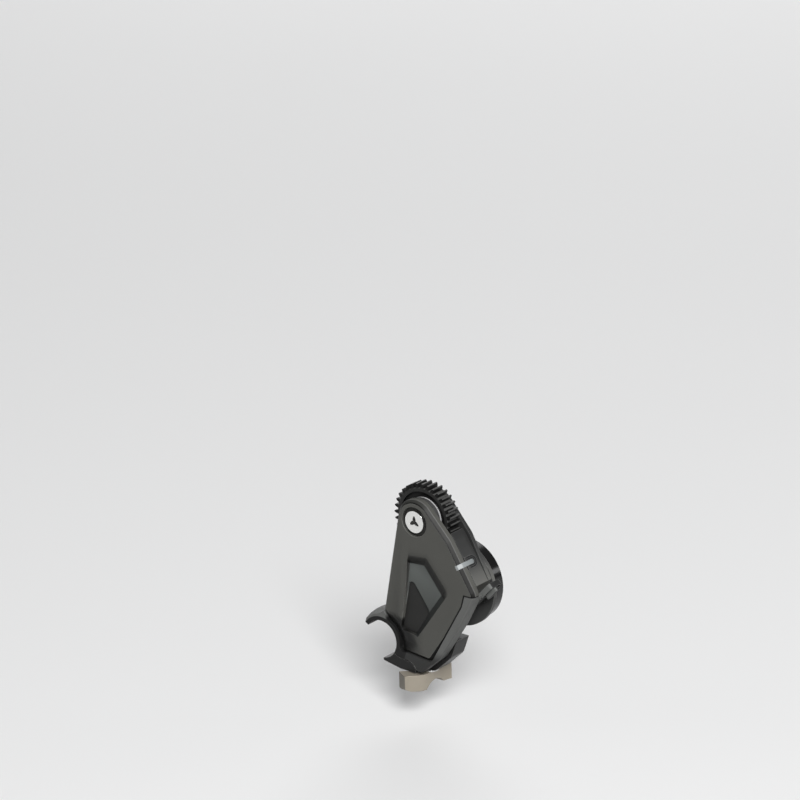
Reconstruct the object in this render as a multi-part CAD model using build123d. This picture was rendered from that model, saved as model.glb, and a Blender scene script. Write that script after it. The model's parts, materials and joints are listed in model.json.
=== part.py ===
"""Lens-drive motor of a wireless follow focus, with its own clamp for a 15 mm support rod.

The frame: X to the right and Z up as seen from the front cover, Y back along the rod.
The origin is on the rod's axis, half way along the clamp's bore. Millimetres throughout.
Depths are measured backwards from the face of the front cover.
"""
from build123d import *
from math import acos, atan2, cos, degrees, hypot, pi, radians, sin, sqrt, tan
import os

# ------------------------------------------------------------------ driving dimensions
# the rod and its clamp
ROD_R = 7.5
BORE_GAP = 0.05
CLAMP_LENGTH = 15.0
SADDLE_WALL = 1.65
JAW_TRAVEL = 2.0
JAW_DEPTH = 13.5
JAW_GAP = 0.25

# stack of the casings: how thick each one is, and the depths behind the cover's face that follow
COVER_THICK = 3.4
TRIM_STEP = 1.8
HOUSING_THICK = 7.7
REAR_THICK = 2.0
BASE_THICK = 1.9
CAN_THICK = 5.4
COVER_DEPTH = COVER_THICK
TRIM_DEPTH = COVER_DEPTH + TRIM_STEP
HOUSING_DEPTH = COVER_DEPTH + HOUSING_THICK
REAR_DEPTH = HOUSING_DEPTH + REAR_THICK
BASE_DEPTH = REAR_DEPTH + BASE_THICK
CAN_DEPTH = BASE_DEPTH + CAN_THICK
WALL = 1.5
SEAM = 0.15
GROOVE = 0.3
GROOVE_IN = 0.5

# outline of the casing: discs that a tight belt runs round, as x, z and radius
GEAR_X, GEAR_Z = 17.9, 51.5
TOP_R = 8.6
REAR_STEP = 2.1
REAR_BULGE_STEP = 1.3
BULGE = (26.5, 41.5, 9.3)
CORNER = (42.4, 27.6, 3.0)
ELBOW = (36.2, 15.8, 3.0)
HEEL = (25.9, 0.2, 3.0)
TOE = (18.5, -7.0, 2.5)
FLANK = (3.0, 13.0, 1.5)
COVER_CORNER = (22.75, -0.9, 2.8)
COVER_FOOT = (11.0, -1.0, 1.5)
NOTCH_Z = 26.8
SEAM_TOP = (39.6, 22.2)
SEAM_TURN = (40.9, NOTCH_Z)
SEAM_LOW = (25.2, -2.3)
BEVEL_IN, BEVEL_BACK = 1.3, 1.5

# sunk kite of the cover, deepest at its top left: its floor, the soft rim that the shoulder rolls
# up to, as discs, and how far the shoulder has spread at each share of the depth
KITE = [(14.5, 33.5, 0.6), (20.9, 33.9, 0.6), (30.6, 23.1, 0.6), (17.8, 5.7, 0.6), (11.5, 8.7, 0.6)]
KITE_RIM = [(15.0, 36.2, 0.9), (24.6, 36.6, 2.6), (32.9, 24.6, 0.8), (17.9, 5.6, 0.6), (11.3, 8.6, 0.6)]
SHOULDER = [(0.0, 1.0), (0.12, 0.62), (0.34, 0.3), (0.64, 0.09), (1.0, 0.0)]
KITE_SLOPE = 0.064
KITE_STEP = 0.05
WINDOW = [(12.2, 8.2), (16.0, 7.5), (22.0, 16.5), (15.4, 24.7)]
WINDOW_R = 1.9
WINDOW_DEPTH = 1.5
COVE_R = 12.5
COVE_DEPTH = 1.6
INLAY_GAP = 0.1
INLAY_THICK = 0.8

# drive gear and its train
MODULE = 0.8
GEAR_TEETH = 32
GEAR_FRONT, GEAR_BACK = COVER_DEPTH + 1.7, HOUSING_DEPTH - 0.3
GEAR_DISH_R, GEAR_DISH = 10.4, 1.4
WINDOW_GAP = 1.0
IDLER_TEETH = 17
WHEEL_MODULE = 0.4
WHEEL_TEETH = 40
PINION_TEETH = 14
WHEEL_FRONT, WHEEL_THICK = HOUSING_DEPTH + 0.2, 1.2
WHEEL_BACK = WHEEL_FRONT + WHEEL_THICK
PRESSURE = 20.0
BACKLASH = 0.12
MESH_GAP = 0.04
RUNNING = 0.03

# axle, bearing and screw of the drive gear
AXLE_R = 2.5
BEARING_R = 8.0
OUTER_RACE = 1.8
INNER_RACE = 2.3
BEARING_FRONT, BEARING_BACK = COVER_DEPTH + 1.0, HOUSING_DEPTH - 0.4
SCREW_HEAD_R = 4.3
SCREW_HEAD = 1.0
COUNTERBORE_R = 5.85
COUNTERBORE = 1.0
AXLE_THREAD_R = 1.5

# motor
CAN_X, CAN_Z = 28.0, 25.2
CAN_R = 16.2
BASE_R = 17.0
CAN_WALL = 1.2
CAN_CHAMFER = 0.7
SPIGOT = 1.0
SHAFT_R = 1.0
BUSH_R = 2.3
TUBE_R = 3.2
STATOR_R = 9.7
STATOR_SLOTS = 6
STATOR_NEAR, STATOR_BACK = BASE_DEPTH + 0.6, BASE_DEPTH + 2.8
COIL_RISE = 0.35
AIR_GAP = 0.3
BELL_WALL = 2.0
BELL_NEAR, BELL_BACK = BASE_DEPTH + 0.3, BASE_DEPTH + 4.1
BELL_ROOF = 0.8

# light bar
LIGHT_WIDTH = 1.8
LIGHT_BACK = 8.2
LIGHT_IN = 2.3
LIGHT_ALONG = 10.8
BOSS_WIDTH = 4.8
BOSS_RISE = 0.35
BOSS_BACK = 9.8

# port and its flap
POCKET_TOP = 30.5
FLOOR_SHIFT = 0.3
FLAP_X, FLAP_Z = 40.6, 21.9
FLAP_LENGTH = 13.0
FLAP_THICK = 2.2
FLAP_REST = 47.0
FLAP_RIBS = 4
FLAP_NEAR, FLAP_BACK = TRIM_DEPTH + 0.1, HOUSING_DEPTH + 0.9
STRAP_LONG, STRAP_WIDE = 5.6, 3.4
TRAY_RIM, TRAY_DEEP = 0.6, 0.5
PLUG_LONG, PLUG_HIGH, PLUG_DEEP = 7.2, 2.2, 1.5
FLAP_PIN_R = 0.6
SOCKET_LONG, SOCKET_HIGH, SOCKET_DEEP = 8.94, 3.2, 6.6
SOCKET_SHEET = 0.3
SOCKET_ALONG = 8.9
PORT_DEPTH = 8.2

# clamp screw and wing lever
SCREW_X = 17.4
SCREW_R = 1.5
JAW_STEP = 0.8
JAW_LAND = 0.3
SCREW_DEPTH = TRIM_DEPTH + JAW_STEP + JAW_LAND + SCREW_R
SCREW_TOP = 2.2
JAW_BOTTOM = -10.2
JAW_BAR_TOP = -4.7
FRAME_FLOOR = -4.4
WASHER_THICK = 0.6
LEVER_HEIGHT = 6.5
LEVER_ARCH = 2.7
UPRIGHT_X = 25.0
JAW_POST_TOP = 4.6
JAW_TIP = (0.9, -8.5)
JAW_TOE = (20.2, -7.2, 3.0)
JAW_HEEL = (26.4, -0.6, 3.6)
JAW_SIDE = (29.0, 5.5, 3.3)
GUIDE_R = 1.0
HOUSING_FOOT = 6.2

FRONT = -CLAMP_LENGTH / 2
BORE_R = ROD_R + BORE_GAP
SADDLE_R = BORE_R + SADDLE_WALL
GEAR_AT = (GEAR_X, GEAR_Z)
CAN_AT = (CAN_X, CAN_Z)
TOP = (GEAR_X, GEAR_Z, TOP_R)
REAR_TOP = (GEAR_X, GEAR_Z, TOP_R + REAR_STEP)
REAR_BULGE = (BULGE[0], BULGE[1], BULGE[2] + REAR_BULGE_STEP)
FAR = 80.0


# ------------------------------------------------------------------ ways of drawing
def depth_plane(depth):
    """The plane at a depth behind the cover's face, looking forwards, X right and Z up."""
    return Plane.XZ.offset(-(FRONT + depth))


def slab(profile, near, far):
    """A profile in X and Z, made solid from one depth to another."""
    return extrude(depth_plane(far) * profile, amount=far - near)


def rod(at, radius, near, far):
    """A round bar along Y."""
    return slab(disc(at, radius), near, far)


def disc(at, radius):
    return Pos(*at) * Circle(radius)


def upright(at, radius, low, high):
    """A round bar along Z; at is x and depth."""
    x, depth = at
    bar = Cylinder(radius, high - low, align=(Align.CENTER, Align.CENTER, Align.MIN))
    return Pos(x, FRONT + depth, low) * bar


def belt(discs, grow=0.0):
    """The face inside a belt drawn tight round discs, which are named counterclockwise."""
    rounds = [(x, z, max(r + grow, 0.05)) for x, z, r in discs]
    normals = []
    for (x1, z1, r1), (x2, z2, r2) in zip(rounds, rounds[1:] + rounds[:1]):
        reach = hypot(x2 - x1, z2 - z1)
        normals.append(atan2(z2 - z1, x2 - x1) - acos((r1 - r2) / reach))
    edges = []
    for i, (x, z, r) in enumerate(rounds):
        start, end = normals[i - 1], normals[i]
        turn = (end - start) % (2 * pi)
        points = [(x + r * cos(a), z + r * sin(a)) for a in (start, start + turn / 2, start + turn)]
        edges.append(ThreePointArc(*points))
        nx, nz, nr = rounds[(i + 1) % len(rounds)]
        edges.append(Line(points[2], (nx + nr * cos(end), nz + nr * sin(end))))
    return make_face(Wire(edges))


def soft_polygon(points, radius, grow=0.0):
    """A convex polygon of outer corners, rounded by one radius and grown outwards."""
    turned = list(reversed(points)) if signed_area(points) < 0 else points
    return belt([(x, z, radius) for x, z in turned], grow)


def signed_area(points):
    return sum(x1 * z2 - x2 * z1 for (x1, z1), (x2, z2) in zip(points, points[1:] + points[:1])) / 2


def bevelled(discs, inward, deep, back, grow=0.0):
    """A blank with straight sides behind, and a bevel that leads to its smaller face in front."""
    wide, narrow = belt(discs, grow), belt(discs, grow - inward)
    return loft([depth_plane(deep) * wide, depth_plane(0) * narrow], ruled=True) + slab(wide, deep, back)


def polygon(*points):
    return make_face(Polyline(*points, close=True))


def tooth_half_angle(radius, pitch_r, teeth, backlash):
    """Half the angle that an involute tooth takes up at a radius."""
    base = pitch_r * cos(radians(PRESSURE))
    lean = tan(radians(PRESSURE)) - radians(PRESSURE)
    at = acos(min(1.0, base / radius))
    return pi / (2 * teeth) - backlash / (2 * pitch_r) + lean - (tan(at) - at)


def gear_profile(module, teeth, turn, steps=2):
    """An involute gear outline about the origin; turn is the angle of its first tooth.

    Each flank has some straight steps from the base circle to the tip, or none and is one straight line.
    """
    pitch_r = module * teeth / 2
    tip, root = pitch_r + 0.95 * module, pitch_r - 1.25 * module
    base = max(root, pitch_r * cos(radians(PRESSURE)))
    radii = [base + (tip - base) * i / steps for i in range(steps + 1)] if steps else [tip]
    flank = [(root, tooth_half_angle(base, pitch_r, teeth, BACKLASH))]
    flank += [(r, tooth_half_angle(r, pitch_r, teeth, BACKLASH)) for r in radii if r > root]
    points = []
    for i in range(teeth):
        middle = radians(turn) + 2 * pi * i / teeth
        points += [(r * cos(middle - a), r * sin(middle - a)) for r, a in flank]
        points += [(r * cos(middle + a), r * sin(middle + a)) for r, a in reversed(flank)]
    return make_face(Polyline(*points, close=True))


def meet(a, reach_a, b, reach_b, side):
    """The point at given distances from two others, on the chosen side of the line a to b."""
    gap = hypot(b[0] - a[0], b[1] - a[1])
    ux, uz = (b[0] - a[0]) / gap, (b[1] - a[1]) / gap
    along = (reach_a ** 2 - reach_b ** 2 + gap ** 2) / (2 * gap)
    across = side * sqrt(reach_a ** 2 - along ** 2)
    return (a[0] + along * ux - across * uz, a[1] + along * uz + across * ux)


def ring(at, outer, inner, near, far):
    return slab(disc(at, outer) - disc(at, inner), near, far)


# ------------------------------------------------------------------ shared outlines
BODY = [TOP, FLANK, TOE, HEEL, ELBOW, CORNER, BULGE]
REAR = [REAR_TOP, FLANK, COVER_FOOT, HEEL, ELBOW, CORNER, REAR_BULGE]
COVER = [TOP, FLANK, COVER_FOOT, COVER_CORNER, CORNER, BULGE]

seam_run = hypot(SEAM_TOP[0] - SEAM_LOW[0], SEAM_TOP[1] - SEAM_LOW[1])
SEAM_U = ((SEAM_TOP[0] - SEAM_LOW[0]) / seam_run, (SEAM_TOP[1] - SEAM_LOW[1]) / seam_run)
SEAM_N = (SEAM_U[1], -SEAM_U[0])
SEAM_ANGLE = degrees(atan2(SEAM_U[1], SEAM_U[0]))


def seam_point(along, out):
    """A point by its distance along the seam from its top, and out from the seam."""
    return (SEAM_TOP[0] + along * SEAM_U[0] + out * SEAM_N[0],
            SEAM_TOP[1] + along * SEAM_U[1] + out * SEAM_N[1])


def trim_side(gap=0.0):
    """Everything beyond the seam between the cover and the clamp frame's trim, less a gap."""
    turn = (SEAM_TURN[0] + gap, NOTCH_Z - gap)
    return polygon(turn, seam_point(0, gap), seam_point(-FAR, gap), (FAR, -FAR), (FAR, NOTCH_Z - gap))


def cover_area():
    return belt(COVER) - trim_side() - disc((0, 0), SADDLE_R + SEAM)


def pocket_area():
    """The recess in the right flank that holds the port and its flap."""
    floor_top = (POCKET_TOP - SEAM_TOP[1]) / SEAM_U[1]
    return polygon(seam_point(floor_top, -FLOOR_SHIFT), seam_point(-FAR, -FLOOR_SHIFT), (FAR, -FAR),
                   (FAR, POCKET_TOP))


def above_frame(drop=0.0):
    """Everything above the line where the housings stand on the clamp frame."""
    return polygon((-FAR, 14.5 - drop), (3.0, 13.2 - drop), (12.5, 8.6 - drop), (13.0, HOUSING_FOOT - drop),
                   (FAR, HOUSING_FOOT - drop), (FAR, 2 * FAR), (-FAR, 2 * FAR))


def housing_area():
    return (belt(BODY) & above_frame()) - pocket_area()


def window_cut():
    return disc(GEAR_AT, MODULE * (GEAR_TEETH / 2 + 1) + WINDOW_GAP)


IDLER_AT = meet(GEAR_AT, MODULE * (GEAR_TEETH + IDLER_TEETH) / 2 + MESH_GAP, CAN_AT,
                WHEEL_MODULE * (WHEEL_TEETH + PINION_TEETH) / 2 + MESH_GAP, -1)
POSTS = [(5.4, 18.0), (33.2, 43.6), (14.4, 9.4)]
POST_R = 2.0
CASE_SCREW_R = 0.9
CASE_HEAD_R = 1.6
CASE_HEAD = 1.1
CASE_THREAD = 5.0
GUIDE_PIN_AT = [(12.4, 9.6), (20.4, 10.6)]


def light_frame():
    """Place of the light bar: x along the flank's outward normal, y along the flank, z forwards."""
    x1, z1, r1 = CORNER
    x2, z2, r2 = BULGE
    reach = hypot(x2 - x1, z2 - z1)
    turn = atan2(z2 - z1, x2 - x1) - acos((r1 - r2) / reach)
    out = (cos(turn), sin(turn))
    base = (x1 + r1 * out[0] - LIGHT_ALONG * out[1], z1 + r1 * out[1] + LIGHT_ALONG * out[0])
    return Plane(origin=(base[0], FRONT, base[1]), x_dir=(out[0], 0, out[1]), z_dir=(0, -1, 0))


def light_block(width, back, low, high, front=0.0, round_end=0.0):
    """A block set square to the flank at the light bar, low and high measured out from it."""
    block = Pos((low + high) / 2, 0, -(front + back) / 2) * Box(high - low, width, back - front)
    if round_end:
        block = fillet(block.edges().filter_by(Axis.X).group_by(Axis.Z)[0], round_end)
    return light_frame() * block


PORT_AT = seam_point(-SOCKET_ALONG, -FLOOR_SHIFT)
PORT_PLANE = Plane(origin=(PORT_AT[0], FRONT + PORT_DEPTH, PORT_AT[1]), x_dir=(SEAM_U[0], 0, SEAM_U[1]),
                   z_dir=(SEAM_N[0], 0, SEAM_N[1]))


def port_block(long, high, deep, mouth=0.0, corner=None):
    """A rounded block set into the port's floor, mouth being how far it stands back from it."""
    radius = high / 2 - 0.01 if corner is None else corner
    return extrude(PORT_PLANE.offset(-mouth - deep) * RectangleRounded(long, high, radius), amount=deep)


# ------------------------------------------------------------------ front cover
def kite_room():
    """The kite's floor slopes away from its edge between the right and lowest corners, and its
    upper walls roll out to the cover's face; each level of the loft is tilted by its share."""
    (x1, z1, r), (x2, z2, _) = KITE[3], KITE[2]
    run = hypot(x2 - x1, z2 - z1)
    away = (-(z2 - z1) / run, (x2 - x1) / run)
    edge = (x1 - r * away[0], z1 - r * away[1])
    levels = []
    for spread, share in SHOULDER:
        tilt = (share * KITE_SLOPE * away[0], share * KITE_SLOPE * away[1])
        depth = share * KITE_STEP - (1 - share) * 0.02
        discs = [tuple(a + spread * (b - a) for a, b in zip(low, high)) for low, high in zip(KITE, KITE_RIM)]
        plane = Plane(origin=(edge[0], FRONT + depth, edge[1]), x_dir=(1, tilt[0], 0),
                      z_dir=(tilt[0], -1, tilt[1]))
        levels.append(plane * belt([(x - edge[0], z - edge[1], radius) for x, z, radius in reversed(discs)]))
    return loft(levels, ruled=True)


def make_front_cover():
    """Plate with a bevelled rim, a sunk kite with a window, a cove beside the rod and a screw seat."""
    body = bevelled(COVER, BEVEL_IN, BEVEL_BACK, COVER_DEPTH) & slab(cover_area(), -1, COVER_DEPTH)
    cove = [depth_plane(COVE_DEPTH) * Circle(SADDLE_R + SEAM), depth_plane(0) * Circle(COVE_R)]
    body -= loft(cove, ruled=True)
    body -= kite_room()
    body -= slab(soft_polygon(WINDOW, WINDOW_R), -1, WINDOW_DEPTH + INLAY_THICK)
    body -= rod(GEAR_AT, COUNTERBORE_R, -1, COUNTERBORE)
    body -= rod(GEAR_AT, AXLE_THREAD_R + 0.05, 0, COVER_DEPTH)
    return body - light_bar_room()


def light_bar_room():
    return light_block(LIGHT_WIDTH, LIGHT_BACK, -LIGHT_IN, 2.0, front=-1, round_end=LIGHT_WIDTH / 2 - 0.01)


def make_cover_inlay():
    return slab(soft_polygon(WINDOW, WINDOW_R, -INLAY_GAP), WINDOW_DEPTH, WINDOW_DEPTH + INLAY_THICK)


def make_light_guide():
    """Bar that follows the flank, turned over the cover's bevel."""
    room = light_block(LIGHT_WIDTH, LIGHT_BACK, -LIGHT_IN, 2.0, round_end=LIGHT_WIDTH / 2 - 0.01)
    return room & bevelled(COVER, BEVEL_IN, BEVEL_BACK, LIGHT_BACK + 1, grow=0.15)


def make_led_board():
    """Strip of board that lights the bar from behind."""
    return light_block(3.4, 8.4, -LIGHT_IN - 0.8, -LIGHT_IN, front=COVER_DEPTH)


# ------------------------------------------------------------------ clamp frame
def saddle_sector(near_angle, far_angle, outer):
    """Face of a sector about the rod, angles in degrees."""
    steps = 6
    turns = [radians(near_angle + (far_angle - near_angle) * i / steps) for i in range(steps + 1)]
    reach = outer / cos((turns[1] - turns[0]) / 2)
    fan = polygon((0, 0), *[(reach * cos(a), reach * sin(a)) for a in turns])
    return fan & disc((0, 0), outer)


HOOD = [(0, 0), (12.5, 8.4), (2.6, 12.6), (0.0, 10.7), (-3.6, 9.2), (-7.0, 7.0), (-7.5, 5.2)]
HOOD_BACK = [(0, 0), (12.5, 8.4), (3.0, 13.2), (-1.0, 11.3), (-5.2, 9.9), (-7.9, 7.7), (-8.2, 5.7)]
HOOD_RISE = 4.2
HOOD_TIP, HOOD_ROOT = 5.5, 13.0
JAW_EDGE = [(7.5, -5.4), (13.7, -6.2), (15.3, -7.0), (16.7, -8.8), (16.9, -10.6)]
GUSSET = [(5.0, -3.0), (7.2, -5.2), *JAW_EDGE[1:4], (18.5, -9.4), (20.0, -5.0), (12.0, 2.0)]


def jaw_room():
    """Where the clamp frame leaves the sliding jaw and the mouth of the clamp free."""
    g = JAW_GAP
    edge = [(x + g, z + g) for x, z in JAW_EDGE]
    mouth, back = radians(-33), radians(145)
    return polygon((0, 0), (8.0 * cos(mouth), 8.0 * sin(mouth)), *edge, (17.15, -FAR), (-FAR, -FAR),
                   (FAR * cos(back), FAR * sin(back)))


def below_frame_line(area):
    return area - above_frame()


def make_hood():
    """Pointed horn over the rod, highest a little behind its front and cut away slantwise at the back."""
    swell = loft([depth_plane(HOOD_RISE) * polygon(*HOOD_BACK), depth_plane(0) * polygon(*HOOD)], ruled=True)
    horn = swell + slab(polygon(*HOOD_BACK), HOOD_RISE, CLAMP_LENGTH)
    plan = [(-12.0, -1.0), (FAR, -1.0), (FAR, CLAMP_LENGTH), (3.0, CLAMP_LENGTH), (0.5, HOOD_ROOT),
            (-12.0, HOOD_TIP - 2.5)]
    return horn & extrude(Plane.XY * polygon(*[(x, FRONT + d) for x, d in plan]), amount=40)


def make_clamp_frame():
    """Saddle for the rod with its pointed hood, the trim wall in front and the block behind it."""
    saddle = saddle_sector(-33, 145, SADDLE_R) + polygon(*GUSSET)
    cover_room = belt(COVER, SEAM) - trim_side(SEAM)
    front_blank = bevelled(BODY, 0.5, 0.5, TRIM_DEPTH)
    front = belt(BODY) - cover_room - polygon((-FAR, 2.0), (9.0, 2.0), (9.0, FAR), (-FAR, FAR))
    trim = front_blank & slab(front, -1, COVER_DEPTH)
    crown = slab(saddle - (cover_room - disc((0, 0), SADDLE_R)), 0, COVER_DEPTH)
    middle_area = below_frame_line(belt(BODY)) + (trim_side(SEAM) & belt(BODY))
    middle = slab(middle_area + saddle, COVER_DEPTH, TRIM_DEPTH)
    rear_area = (below_frame_line(belt(BODY)) - pocket_area()) + saddle
    rear_area -= polygon((9.0, -FAR), (FAR, -FAR), (FAR, HOUSING_FOOT), (UPRIGHT_X - 0.3, HOUSING_FOOT),
                         (UPRIGHT_X - 0.3, FRAME_FLOOR), (9.0, FRAME_FLOOR))
    rear = slab(rear_area, TRIM_DEPTH, CLAMP_LENGTH)
    hood = make_hood() - slab(cover_room, -1, COVER_DEPTH)
    hood -= slab(above_frame(), COVER_DEPTH, CAN_DEPTH)
    body = trim + crown + middle + rear + hood
    body -= slab(jaw_room() + disc((0, 0), BORE_R), -1, CLAMP_LENGTH)
    body -= upright((SCREW_X, SCREW_DEPTH), SCREW_R + RUNNING, FRAME_FLOOR - 1, SCREW_TOP + 0.6)
    body -= [upright(at, GUIDE_R, FRAME_FLOOR - 1, -0.6) for at in GUIDE_PIN_AT]
    body -= rod((FLAP_X, FLAP_Z), FLAP_PIN_R, COVER_DEPTH + 0.4, TRIM_DEPTH)
    return body


# ------------------------------------------------------------------ main housing
def inner_area(wall):
    """The housing's hollow, a wall's thickness inside its outline."""
    floor_top = (POCKET_TOP - SEAM_TOP[1]) / SEAM_U[1]
    lower = polygon(seam_point(floor_top + 1, -FLOOR_SHIFT - wall), seam_point(-FAR, -FLOOR_SHIFT - wall),
                    (FAR, -FAR), (FAR, POCKET_TOP + wall))
    return (belt(BODY, -wall) & above_frame(-wall)) - lower


def lipped(discs, near, far):
    """A plate with the outline of some discs, stepped in at its back edge for a shadow gap."""
    wide = (belt(discs) & above_frame()) - pocket_area()
    narrow = (belt(discs, -GROOVE_IN) & above_frame()) - pocket_area()
    return slab(wide, near, far - GROOVE) + slab(narrow, far - GROOVE, far)


def make_main_housing():
    """Shell between the covers: open front and back, cut round where the drive gear stands out."""
    body = lipped(BODY, COVER_DEPTH + GROOVE, HOUSING_DEPTH)
    body += slab((belt(BODY, -GROOVE_IN) & above_frame()) - pocket_area(), COVER_DEPTH, COVER_DEPTH + GROOVE)
    body += light_block(BOSS_WIDTH, BOSS_BACK, -0.5, BOSS_RISE, front=COVER_DEPTH + GROOVE,
                        round_end=BOSS_WIDTH / 2 - 0.01)
    hollow = inner_area(WALL) - disc(GEAR_AT, MODULE * (GEAR_TEETH / 2 + 1) + WINDOW_GAP + 1.2)
    hollow -= [disc(at, POST_R) for at in POSTS]
    body -= slab(hollow + disc(IDLER_AT, MODULE * (IDLER_TEETH / 2 + 1) + 0.5), COVER_DEPTH, HOUSING_DEPTH)
    body -= slab(window_cut(), COVER_DEPTH, HOUSING_DEPTH)
    body -= [rod(at, CASE_SCREW_R, REAR_DEPTH - CASE_HEAD - CASE_THREAD, HOUSING_DEPTH) for at in POSTS]
    body -= port_block(SOCKET_LONG, SOCKET_HIGH, 4.0)
    body -= slab(trim_side(), COVER_DEPTH - 1, TRIM_DEPTH + 0.1)
    return body - light_bar_room()


# ------------------------------------------------------------------ rear housing, motor base and can
def make_rear_housing():
    """Plate behind the gears, with a round cheek at the top and a shallow room for the wheel."""
    body = lipped(REAR, HOUSING_DEPTH, REAR_DEPTH)
    ear = belt([(FLAP_X, FLAP_Z, 1.5), (FLAP_X - 4.5, FLAP_Z + 1.5, 2.5)])
    body += slab(ear, FLAP_BACK + 0.1, REAR_DEPTH)
    flap_room = belt([(FLAP_X, FLAP_Z, 2.2), (FLAP_X + 9.0, FLAP_Z + 9.0, 2.2)])
    body -= slab(flap_room, HOUSING_DEPTH, FLAP_BACK + 0.1)
    body += ring(GEAR_AT, 3.6, AXLE_R, BEARING_BACK, HOUSING_DEPTH)
    room = disc(IDLER_AT, WHEEL_MODULE * (WHEEL_TEETH / 2 + 1) + 0.5) + disc(CAN_AT, TUBE_R + 1.0)
    body -= slab(room, HOUSING_DEPTH, WHEEL_BACK + 0.1)
    body -= rod(CAN_AT, TUBE_R + 1.0, HOUSING_DEPTH, REAR_DEPTH)
    body -= rod(IDLER_AT, IDLER_AXLE_R, HOUSING_DEPTH, REAR_DEPTH)
    body -= rod(GEAR_AT, AXLE_R, BEARING_BACK, REAR_DEPTH)
    body -= rod((FLAP_X, FLAP_Z), FLAP_PIN_R, HOUSING_DEPTH, FLAP_BACK + 0.5)
    body -= [rod(at, CASE_SCREW_R + 0.05, HOUSING_DEPTH, REAR_DEPTH) for at in POSTS]
    return body - [rod(at, CASE_HEAD_R + 0.1, REAR_DEPTH - CASE_HEAD, REAR_DEPTH) for at in POSTS]


def make_case_screws():
    """Socket screws from the back that hold the rear plate to the housing."""
    seat = REAR_DEPTH - CASE_HEAD
    screws = []
    for at in POSTS:
        screw = rod(at, CASE_SCREW_R, seat - CASE_THREAD, seat) + rod(at, CASE_HEAD_R, seat, REAR_DEPTH)
        screws.append(screw - slab(Pos(*at) * RegularPolygon(0.8, 6), REAR_DEPTH - 0.7, REAR_DEPTH))
    return screws


def make_motor_base():
    """Round flange with a spigot for the can and the bearing tube that carries the stator."""
    body = rod(CAN_AT, BASE_R, REAR_DEPTH, BASE_DEPTH - GROOVE)
    body += rod(CAN_AT, CAN_R - CAN_WALL, BASE_DEPTH - GROOVE, BASE_DEPTH)
    body += rod(CAN_AT, TUBE_R, BASE_DEPTH, STATOR_BACK + 0.1)
    body -= rod(IDLER_AT, IDLER_AXLE_R, REAR_DEPTH, REAR_DEPTH + SPIGOT)
    return body - rod(CAN_AT, BUSH_R, REAR_DEPTH, STATOR_BACK + 0.1)


def make_rear_can():
    """Deep cap pressed over the base's spigot, with a chamfered rim."""
    near = BASE_DEPTH - GROOVE
    body = rod(CAN_AT, CAN_R, near, CAN_DEPTH)
    body = chamfer(body.edges().filter_by(GeomType.CIRCLE).group_by(Axis.Y)[-1], CAN_CHAMFER)
    return body - rod(CAN_AT, CAN_R - CAN_WALL, near, BELL_BACK + 0.3)


# ------------------------------------------------------------------ drive gear and idler
IDLER_AXLE_R = 1.2


def make_drive_gear():
    """Spur gear with involute teeth, dished on its front and bored for one wide bearing."""
    body = slab(Pos(*GEAR_AT) * gear_profile(MODULE, GEAR_TEETH, GEAR_TURN), GEAR_FRONT, GEAR_BACK)
    body -= rod(GEAR_AT, GEAR_DISH_R, GEAR_FRONT, GEAR_FRONT + GEAR_DISH)
    return body - rod(GEAR_AT, BEARING_R, GEAR_FRONT, GEAR_BACK)


def make_bearing_outer():
    return ring(GEAR_AT, BEARING_R, BEARING_R - OUTER_RACE, BEARING_FRONT, BEARING_BACK)


def make_bearing_inner():
    return ring(GEAR_AT, AXLE_R + INNER_RACE, AXLE_R, BEARING_FRONT, BEARING_BACK)


def make_bearing_shield():
    """Thin washer fixed to the inner race, which closes the bearing's front."""
    outer, inner = BEARING_R - OUTER_RACE - 0.1, AXLE_R + INNER_RACE
    return ring(GEAR_AT, outer, inner, BEARING_FRONT + 0.2, BEARING_FRONT + 0.7)


def make_gear_axle():
    body = rod(GEAR_AT, AXLE_R, COVER_DEPTH, REAR_DEPTH) + rod(GEAR_AT, 3.7, COVER_DEPTH, BEARING_FRONT)
    return body - rod(GEAR_AT, AXLE_THREAD_R, COVER_DEPTH, COVER_DEPTH + 5.0)


def make_axle_screw():
    """Broad flat head with a three-winged recess, flush in its seat."""
    body = rod(GEAR_AT, SCREW_HEAD_R, COUNTERBORE - SCREW_HEAD, COUNTERBORE)
    body += rod(GEAR_AT, AXLE_THREAD_R, COUNTERBORE, COVER_DEPTH + 4.6)
    wing = [(0.0, -0.7), (1.0, -0.75), (2.3, -0.3), (2.3, 0.3), (1.0, 0.75), (0.0, 0.7)]
    for turn in (90, 210, 330):
        body -= slab(Pos(*GEAR_AT) * Rot(0, 0, turn) * polygon(*wing), -0.5, 0.6)
    return body


def make_idler_gear():
    teeth = Pos(*IDLER_AT) * gear_profile(MODULE, IDLER_TEETH, IDLER_TURN)
    bore = rod(IDLER_AT, IDLER_AXLE_R + RUNNING, GEAR_FRONT, WHEEL_FRONT)
    return slab(teeth, GEAR_FRONT + 0.3, WHEEL_FRONT) - bore


def make_idler_wheel():
    """Fine-toothed wheel behind the idler gear, driven by the pinion."""
    teeth = Pos(*IDLER_AT) * gear_profile(WHEEL_MODULE, WHEEL_TEETH, WHEEL_TURN, steps=0)
    bore = rod(IDLER_AT, IDLER_AXLE_R + RUNNING, WHEEL_FRONT, WHEEL_BACK)
    return slab(teeth, WHEEL_FRONT, WHEEL_BACK) - bore


def make_idler_axle():
    shoulder = rod(IDLER_AT, 2.0, COVER_DEPTH, GEAR_FRONT + 0.3 - RUNNING)
    return rod(IDLER_AT, IDLER_AXLE_R, COVER_DEPTH, REAR_DEPTH + SPIGOT) + shoulder


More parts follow.
